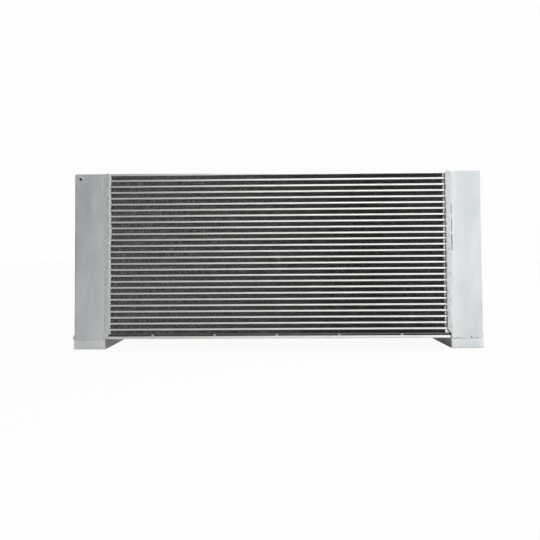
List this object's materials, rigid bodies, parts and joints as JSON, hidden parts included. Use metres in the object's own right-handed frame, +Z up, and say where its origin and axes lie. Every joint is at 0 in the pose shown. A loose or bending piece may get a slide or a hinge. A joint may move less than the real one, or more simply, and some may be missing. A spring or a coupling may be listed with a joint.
{
  "type": "hydraulic oil cooler",
  "caption": "Bar-and-plate aluminium oil cooler: a finned core of flat oil tubes between two welded side tanks on folded feet, with flange ports at the back.",
  "frame": {"origin": "middle of the overall box in X and Y, at the level of the underside of the feet", "axes": "+X to the right seen from the front, along the oil tubes; +Y from the front to the ports at the back, along the air flow; +Z up"},
  "size_m": [0.832, 0.1222, 0.3599],
  "materials": {
    "core_aluminium": "brazed aluminium, dull silver",
    "tank_aluminium": "mill-finish aluminium sheet, satin, slightly mottled",
    "weld_aluminium": "rippled weld metal, bright",
    "machined_aluminium": "machined",
    "zinc_steel": "zinc plated",
    "seal_rubber": "matt"
  },
  "bodies": {
    "root": {"bottom_air_row": "core_aluminium", "top_side_plate": "core_aluminium", "bottom_side_plate": "core_aluminium", "core_layer_01": "core_aluminium", "core_layer_02": "core_aluminium", "core_layer_03": "core_aluminium", "core_layer_04": "core_aluminium", "core_layer_05": "core_aluminium", "core_layer_06": "core_aluminium", "core_layer_07": "core_aluminium", "core_layer_08": "core_aluminium", "core_layer_09": "core_aluminium", "core_layer_10": "core_aluminium", "core_layer_11": "core_aluminium", "core_layer_12": "core_aluminium", "core_layer_13": "core_aluminium", "core_layer_14": "core_aluminium", "core_layer_15": "core_aluminium", "core_layer_16": "core_aluminium", "core_layer_17": "core_aluminium", "core_layer_18": "core_aluminium", "core_layer_19": "core_aluminium", "core_layer_20": "core_aluminium", "core_layer_21": "core_aluminium", "core_layer_22": "core_aluminium", "core_layer_23": "core_aluminium", "core_layer_24": "core_aluminium", "core_layer_25": "core_aluminium", "core_layer_26": "core_aluminium", "left_tank": "tank_aluminium", "right_tank": "tank_aluminium", "left_top_cap": "tank_aluminium", "right_top_cap": "tank_aluminium", "left_bottom_cap": "tank_aluminium", "right_bottom_cap": "tank_aluminium", "left_foot": "tank_aluminium", "right_foot": "tank_aluminium", "base_rail": "tank_aluminium", "left_front_seam": "weld_aluminium", "right_front_seam": "weld_aluminium", "left_rear_seam": "weld_aluminium", "right_rear_seam": "weld_aluminium", "left_foot_seam": "weld_aluminium", "right_foot_seam": "weld_aluminium", "tack_weld_1": "weld_aluminium", "tack_weld_2": "weld_aluminium", "tack_weld_3": "weld_aluminium", "tack_weld_4": "weld_aluminium", "tack_weld_5": "weld_aluminium", "inlet_port": "machined_aluminium", "outlet_port": "machined_aluminium", "drain_bung": "machined_aluminium", "bleed_bung": "machined_aluminium", "shroud_boss": "machined_aluminium", "drain_plug": "zinc_steel", "bleed_plug": "zinc_steel", "drain_washer": "seal_rubber", "bleed_washer": "seal_rubber"}
  },
  "joints": []
}
